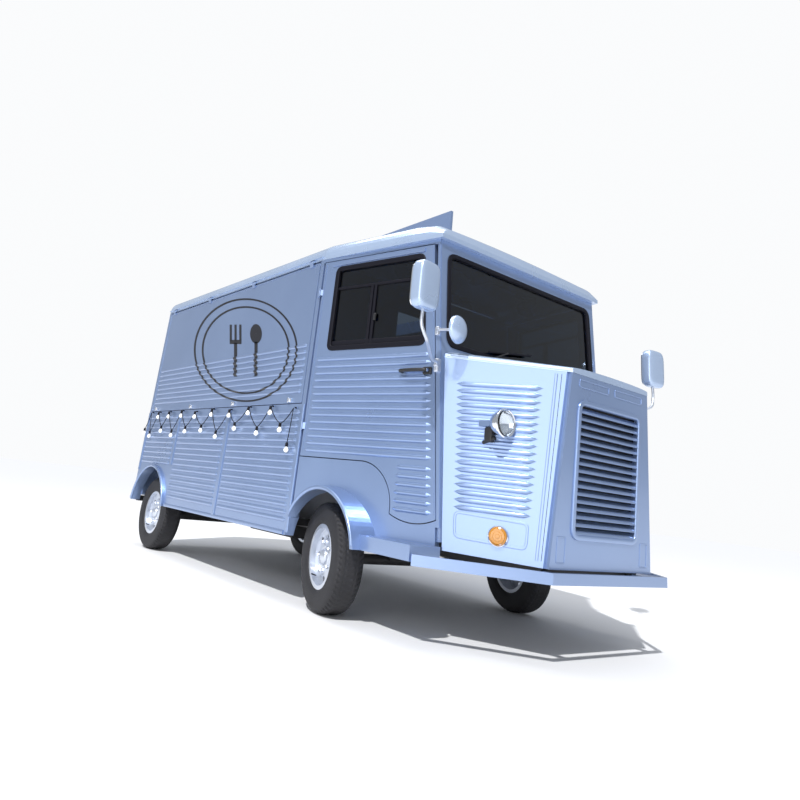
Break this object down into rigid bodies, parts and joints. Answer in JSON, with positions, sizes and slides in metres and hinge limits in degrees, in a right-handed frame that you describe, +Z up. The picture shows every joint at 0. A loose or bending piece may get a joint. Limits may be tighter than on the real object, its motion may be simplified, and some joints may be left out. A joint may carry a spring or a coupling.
{
  "type": "food truck",
  "caption": "Small walk-through food truck of ribbed sheet metal, with a wedge nose, lift-up side hatches, an open roof hatch, steered front wheels and a string of lights.",
  "frame": {"origin": "on the ground, under the middle of the truck's length and width", "axes": "-Y is the driving direction, +X is the vehicle's left side, +Z is up"},
  "size_m": [2.55, 4.699, 3.2269],
  "materials": {
    "paint": "satin metallic blue-silver",
    "paint_light": "satin metallic, lighter",
    "chassis_black": "matt black",
    "stainless": "brushed",
    "glass": "tinted",
    "black_plastic": "matt",
    "seat_fabric": "woven",
    "lamp_bowl": "polished",
    "lamp_red": "gloss",
    "bulb_white": "opal",
    "tyre": "matt rubber",
    "wheel_steel": "silver"
  },
  "bodies": {
    "truck_body": {"chassis_frame": "chassis_black", "floor_pan": "stainless", "right_side_wall": "paint", "left_side_wall": "paint", "rear_frame": "paint", "roof_panel": "paint_light", "cab_frame": "paint", "bulkhead": "paint", "windscreen": "glass", "nose_right_panel": "paint", "nose_left_panel": "paint", "grille_panel": "paint", "hood_panel": "paint_light", "front_bumper": "paint", "right_fender": "paint", "left_fender": "paint", "front_lamps": "lamp_bowl", "side_mirrors": "paint_light", "dashboard": "black_plastic", "cab_seats": "seat_fabric", "kitchen_units": "stainless", "engine_block": "chassis_black", "fuel_tank": "chassis_black", "front_axle": "chassis_black", "rear_axle": "chassis_black", "tail_lamps": "lamp_red", "rear_step": "chassis_black", "festoon_cable": "black_plastic", "festoon_bulbs": "bulb_white"},
    "right_door": {"right_door": "paint", "right_door_glass": "glass"},
    "left_door": {"left_door": "paint", "left_door_glass": "glass"},
    "right_hatch": {"right_hatch": "paint"},
    "left_hatch": {"left_hatch": "paint"},
    "roof_hatch": {"roof_hatch": "paint"},
    "tailgate": {"tailgate": "paint"},
    "rear_right_door": {"rear_right_door": "paint"},
    "rear_left_door": {"rear_left_door": "paint"},
    "right_knuckle": {"right_knuckle": "chassis_black"},
    "left_knuckle": {"left_knuckle": "chassis_black"},
    "front_right_wheel": {"front_right_tyre": "tyre", "front_right_rim": "wheel_steel"},
    "front_left_wheel": {"front_left_tyre": "tyre", "front_left_rim": "wheel_steel"},
    "rear_right_wheel": {"rear_right_tyre": "tyre", "rear_right_rim": "wheel_steel"},
    "rear_left_wheel": {"rear_left_tyre": "tyre", "rear_left_rim": "wheel_steel"}
  },
  "joints": [
    {"name": "right_door_hinge", "type": "hinge", "parent": "truck_body", "child": "right_door", "pos_m": [-1.06081, -0.66907, 1.6], "axis": [0, 0, -1], "range_deg": [0, 75]},
    {"name": "left_door_hinge", "type": "hinge", "parent": "truck_body", "child": "left_door", "pos_m": [1.06081, -0.66907, 1.6], "axis": [0, 0, 1], "range_deg": [0, 75]},
    {"name": "right_hatch_hinge", "type": "hinge", "parent": "truck_body", "child": "right_hatch", "pos_m": [-1.062, 0.81, 2.334], "axis": [0, 1, 0], "range_deg": [0, 88]},
    {"name": "left_hatch_hinge", "type": "hinge", "parent": "truck_body", "child": "left_hatch", "pos_m": [1.062, 0.81, 2.334], "axis": [0, -1, 0], "range_deg": [0, 88]},
    {"name": "roof_hatch_hinge", "type": "hinge", "parent": "truck_body", "child": "roof_hatch", "pos_m": [0.286, 0.81, 2.523], "axis": [0, 1, 0], "range_deg": [0, 90]},
    {"name": "tailgate_hinge", "type": "hinge", "parent": "truck_body", "child": "tailgate", "pos_m": [0, 2.2995, 2.278], "axis": [1, 0, 0], "range_deg": [0, 85]},
    {"name": "rear_right_door_hinge", "type": "hinge", "parent": "truck_body", "child": "rear_right_door", "pos_m": [-0.906, 2.2995, 0.88], "axis": [0, 0, 1], "range_deg": [0, 100]},
    {"name": "rear_left_door_hinge", "type": "hinge", "parent": "truck_body", "child": "rear_left_door", "pos_m": [0.906, 2.2995, 0.88], "axis": [0, 0, -1], "range_deg": [0, 100]},
    {"name": "right_steering", "type": "hinge", "parent": "truck_body", "child": "right_knuckle", "pos_m": [-0.8, -0.9535, 0.325], "axis": [0, 0, 1], "range_deg": [-18.5, 45.5]},
    {"name": "left_steering", "type": "hinge", "parent": "truck_body", "child": "left_knuckle", "pos_m": [0.8, -0.9535, 0.325], "axis": [0, 0, 1], "range_deg": [-18.5, 45.5]},
    {"name": "front_right_wheel_spin", "type": "hinge", "parent": "right_knuckle", "child": "front_right_wheel", "pos_m": [-0.87973, -0.93436, 0.325], "axis": [0.9724, -0.2334, 0], "continuous": true},
    {"name": "front_left_wheel_spin", "type": "hinge", "parent": "left_knuckle", "child": "front_left_wheel", "pos_m": [0.87973, -0.97264, 0.325], "axis": [0.9724, -0.2334, 0], "continuous": true},
    {"name": "rear_right_wheel_spin", "type": "hinge", "parent": "truck_body", "child": "rear_right_wheel", "pos_m": [-0.882, 1.9245, 0.325], "axis": [1, 0, 0], "continuous": true},
    {"name": "rear_left_wheel_spin", "type": "hinge", "parent": "truck_body", "child": "rear_left_wheel", "pos_m": [0.882, 1.9245, 0.325], "axis": [1, 0, 0], "continuous": true}
  ],
  "couplings": [
    {"joint": "left_steering", "follows": "right_steering", "ratio": 1}
  ]
}
